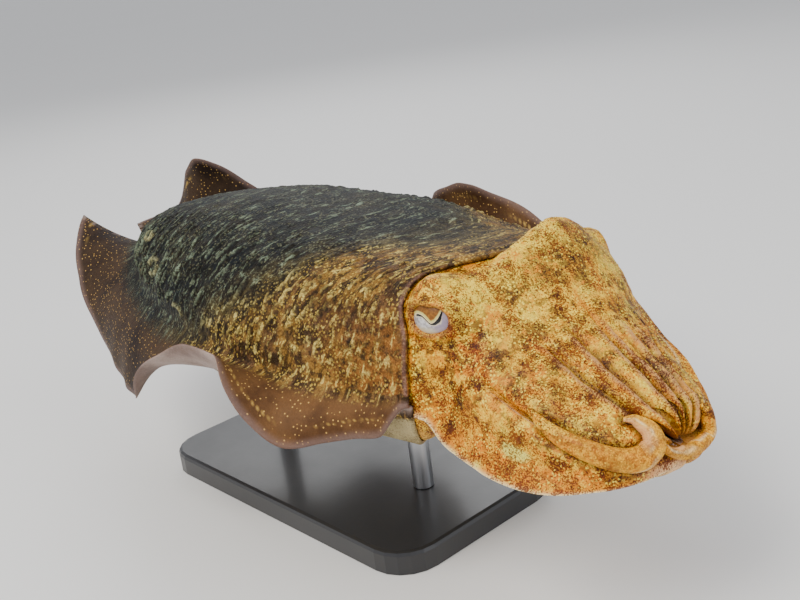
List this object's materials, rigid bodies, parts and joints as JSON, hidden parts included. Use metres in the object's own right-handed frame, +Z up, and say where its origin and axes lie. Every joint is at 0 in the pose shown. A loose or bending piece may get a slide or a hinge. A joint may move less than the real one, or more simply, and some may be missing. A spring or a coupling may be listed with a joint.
{
  "type": "common cuttlefish model",
  "caption": "Life-size still model of a common cuttlefish hovering with its arms held together, waved side fins and mottled golden skin, on a plain two-rod display stand.",
  "frame": {"origin": "middle of the whole model's bounding box at the underside of the stand's base", "axes": "+X forward along the mantle towards the head and arms, +Y to the animal's left, +Z up"},
  "size_m": [0.3066, 0.153, 0.1087],
  "materials": {
    "mantle_skin": "semi-gloss, wet mottled skin, dark slate on the back and golden brown on the sides",
    "head_skin": "semi-gloss, golden orange skin with cream flecks and dark brown blotches",
    "arm_skin": "semi-gloss, golden orange skin with orange streaks and thin mauve edges",
    "fin_skin": "semi-gloss, thin brown-grey fin with tiny gold dots and a lilac margin",
    "funnel_skin": "semi-gloss, pale greenish cream skin",
    "eye_gloss": "gloss, silvery eye with a black W-shaped pupil",
    "stand_paint": "satin, near-black",
    "rod_steel": "brushed"
  },
  "bodies": {
    "root": {"arm_left_1_base": "arm_skin", "arm_left_1_tip": "arm_skin", "arm_left_2_base": "arm_skin", "arm_left_2_tip": "arm_skin", "arm_left_3_base": "arm_skin", "arm_left_3_tip": "arm_skin", "arm_left_4_base": "arm_skin", "arm_left_4_tip": "arm_skin", "arm_right_1_base": "arm_skin", "arm_right_1_tip": "arm_skin", "arm_right_2_base": "arm_skin", "arm_right_2_tip": "arm_skin", "arm_right_3_base": "arm_skin", "arm_right_3_tip": "arm_skin", "arm_right_4_base": "arm_skin", "arm_right_4_tip": "arm_skin", "eye_left": "eye_gloss", "eye_right": "eye_gloss", "fin_left": "fin_skin", "fin_right": "fin_skin", "funnel": "funnel_skin", "head": "head_skin", "mantle": "mantle_skin", "stand_base": "stand_paint", "stand_rod_front": "rod_steel", "stand_rod_rear": "rod_steel"}
  },
  "joints": []
}
